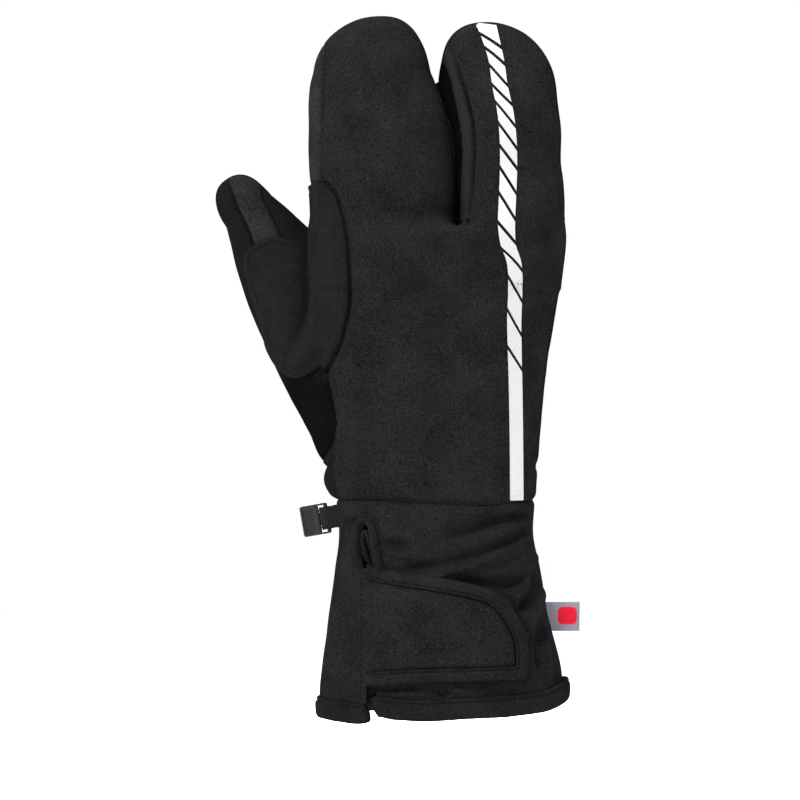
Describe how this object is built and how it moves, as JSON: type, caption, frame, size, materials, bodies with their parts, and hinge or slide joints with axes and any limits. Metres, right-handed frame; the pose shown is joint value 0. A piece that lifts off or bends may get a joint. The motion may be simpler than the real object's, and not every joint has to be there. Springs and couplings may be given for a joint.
{
  "type": "cycling glove",
  "caption": "Right-hand padded winter cycling glove with a thumb, split finger lobes, gauntlet cuff, wrist tab, rolled hem, small hanging clip and reflective stripe",
  "frame": {"origin": "centre of the cuff's opening, level with the lowest point of the hem, where the forearm goes in", "axes": "+Z runs from the cuff to the fingertips, the back of the hand faces -Y and the palm +Y, and the thumb points to -X"},
  "size_m": [0.1473, 0.0785, 0.2842],
  "materials": {
    "softshell": "charcoal black softshell with a fine heathered weave",
    "smooth_cloth": "darker smooth stretch cloth",
    "suede": "black synthetic suede with a short nap",
    "reflective": "pale reflective heat-bonded tape",
    "clip_plastic": "moulded black plastic with a soft sheen",
    "webbing": "black ribbed webbing",
    "label": "grey woven label with a plain red band"
  },
  "bodies": {
    "root": {"back_panel": "softshell", "palm_panel": "smooth_cloth", "index_side_wall": "softshell", "finger_gusset": "smooth_cloth", "wrist_gather": "smooth_cloth", "thumb_shell": "smooth_cloth", "thumb_front_panel": "softshell", "thumb_patch": "suede", "palm_patch": "suede", "cuff_shell": "softshell", "cuff_facing": "softshell", "slit_binding": "softshell", "slit_gusset": "smooth_cloth", "closure_tab": "softshell", "tab_binding": "softshell", "hem_band": "softshell", "clip": "clip_plastic", "clip_webbing": "webbing", "side_label": "label", "stripe_01": "reflective", "stripe_02": "reflective", "stripe_03": "reflective", "stripe_04": "reflective", "stripe_05": "reflective", "stripe_06": "reflective", "stripe_07": "reflective", "stripe_08": "reflective", "stripe_09": "reflective", "stripe_10": "reflective", "stripe_11": "reflective", "stripe_12": "reflective", "stripe_13": "reflective", "stripe_14": "reflective", "stripe_15": "reflective"}
  },
  "joints": []
}
